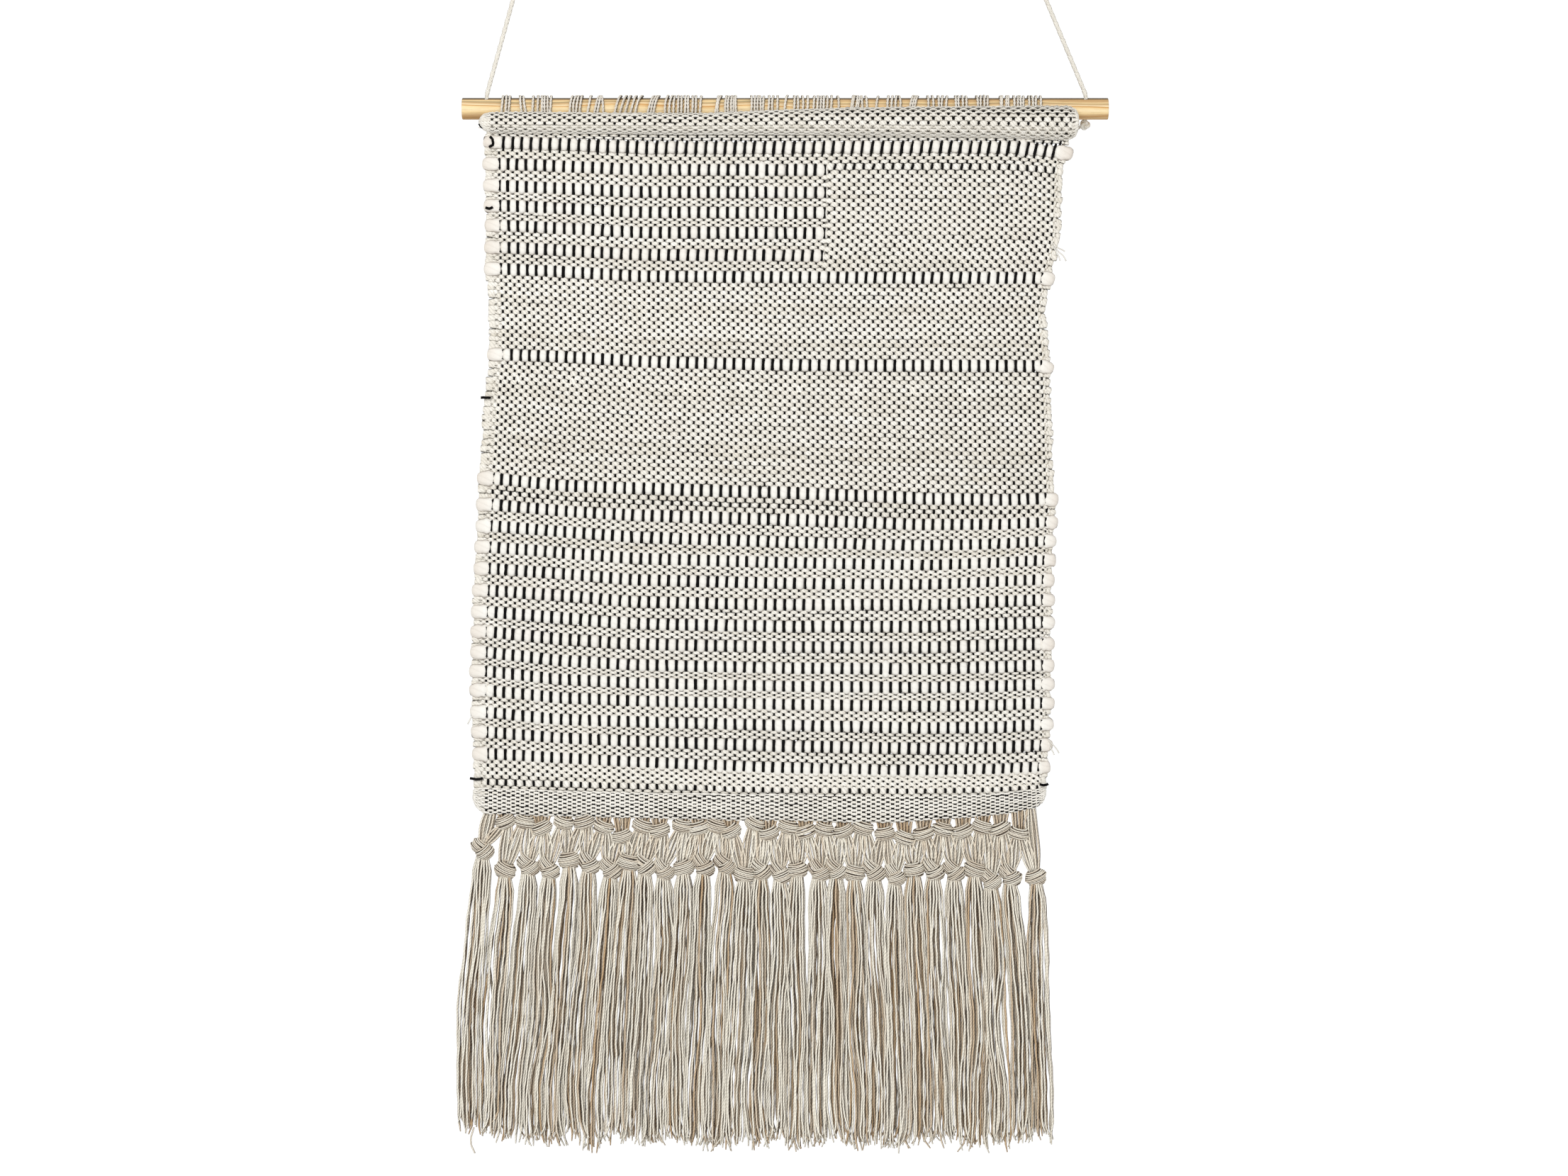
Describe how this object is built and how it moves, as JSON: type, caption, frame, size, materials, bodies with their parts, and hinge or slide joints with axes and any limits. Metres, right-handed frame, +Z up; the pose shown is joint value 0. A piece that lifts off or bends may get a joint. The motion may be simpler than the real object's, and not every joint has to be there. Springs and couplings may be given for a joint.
{
  "type": "tapestry wall hanging",
  "caption": "Rectangular woven wall hanging lashed to a drilled wooden dowel on two taut cords, with ribbed stripes and a long knotted tassel fringe.",
  "frame": {"origin": "midway between the two hanging loops, at the height of the nails inside them", "axes": "+Z up, +X to the viewer's right along the dowel, -Y out of the woven face, +Y towards the wall"},
  "size_m": [0.6028, 0.0363, 1.1296],
  "materials": {
    "pine": "bare, lightly sanded",
    "cotton_cord": "braided cotton",
    "ivory_weft": "plain woven cotton",
    "lashing_yarn": "two-ply yarn",
    "fringe_yarn": "plied yarn, knotted",
    "black_warp": "matte thread",
    "jersey_strip": "soft stuffed strip"
  },
  "bodies": {
    "rail": {"dowel": "pine", "cord_left": "cotton_cord", "cord_right": "cotton_cord", "stopper_knot_left": "cotton_cord", "stopper_knot_right": "cotton_cord", "eye_knot_left": "cotton_cord", "eye_knot_right": "cotton_cord", "eye_loop_left": "cotton_cord", "eye_loop_right": "cotton_cord"},
    "cloth": {"top_hem": "ivory_weft", "woven_panel": "ivory_weft", "bottom_hem": "ivory_weft", "lashing_01": "lashing_yarn", "lashing_02": "lashing_yarn", "lashing_03": "lashing_yarn", "lashing_04": "lashing_yarn", "lashing_05": "lashing_yarn", "lashing_06": "lashing_yarn", "lashing_07": "lashing_yarn", "lashing_08": "lashing_yarn", "lashing_09": "lashing_yarn", "lashing_10": "lashing_yarn", "lashing_11": "lashing_yarn", "lashing_12": "lashing_yarn", "lashing_13": "lashing_yarn", "lashing_14": "lashing_yarn", "lashing_15": "lashing_yarn", "lashing_16": "lashing_yarn", "lashing_17": "lashing_yarn"},
    "fringe": {"knot_net": "fringe_yarn", "tassel_01": "fringe_yarn", "tassel_02": "fringe_yarn", "tassel_03": "fringe_yarn", "tassel_04": "fringe_yarn", "tassel_05": "fringe_yarn", "tassel_06": "fringe_yarn", "tassel_07": "fringe_yarn", "tassel_08": "fringe_yarn", "tassel_09": "fringe_yarn", "tassel_10": "fringe_yarn", "tassel_11": "fringe_yarn", "tassel_12": "fringe_yarn", "tassel_13": "fringe_yarn", "tassel_14": "fringe_yarn", "tassel_15": "fringe_yarn", "tassel_16": "fringe_yarn", "tassel_17": "fringe_yarn", "tassel_18": "fringe_yarn", "tassel_19": "fringe_yarn", "tassel_20": "fringe_yarn", "tassel_21": "fringe_yarn", "tassel_22": "fringe_yarn", "tassel_23": "fringe_yarn", "tassel_24": "fringe_yarn", "tassel_25": "fringe_yarn", "tassel_26": "fringe_yarn", "tassel_27": "fringe_yarn", "tassel_28": "fringe_yarn", "tassel_29": "fringe_yarn"}
  },
  "joints": [
    {"name": "cloth_swing", "type": "hinge", "parent": "rail", "child": "cloth", "pos_m": [0, 0, -0.165], "axis": [-1, 0, 0], "range_deg": [0, 60]},
    {"name": "fringe_swing", "type": "hinge", "parent": "cloth", "child": "fringe", "pos_m": [0, -0.015, -0.82], "axis": [-1, 0, 0], "range_deg": [-60, 45]}
  ]
}
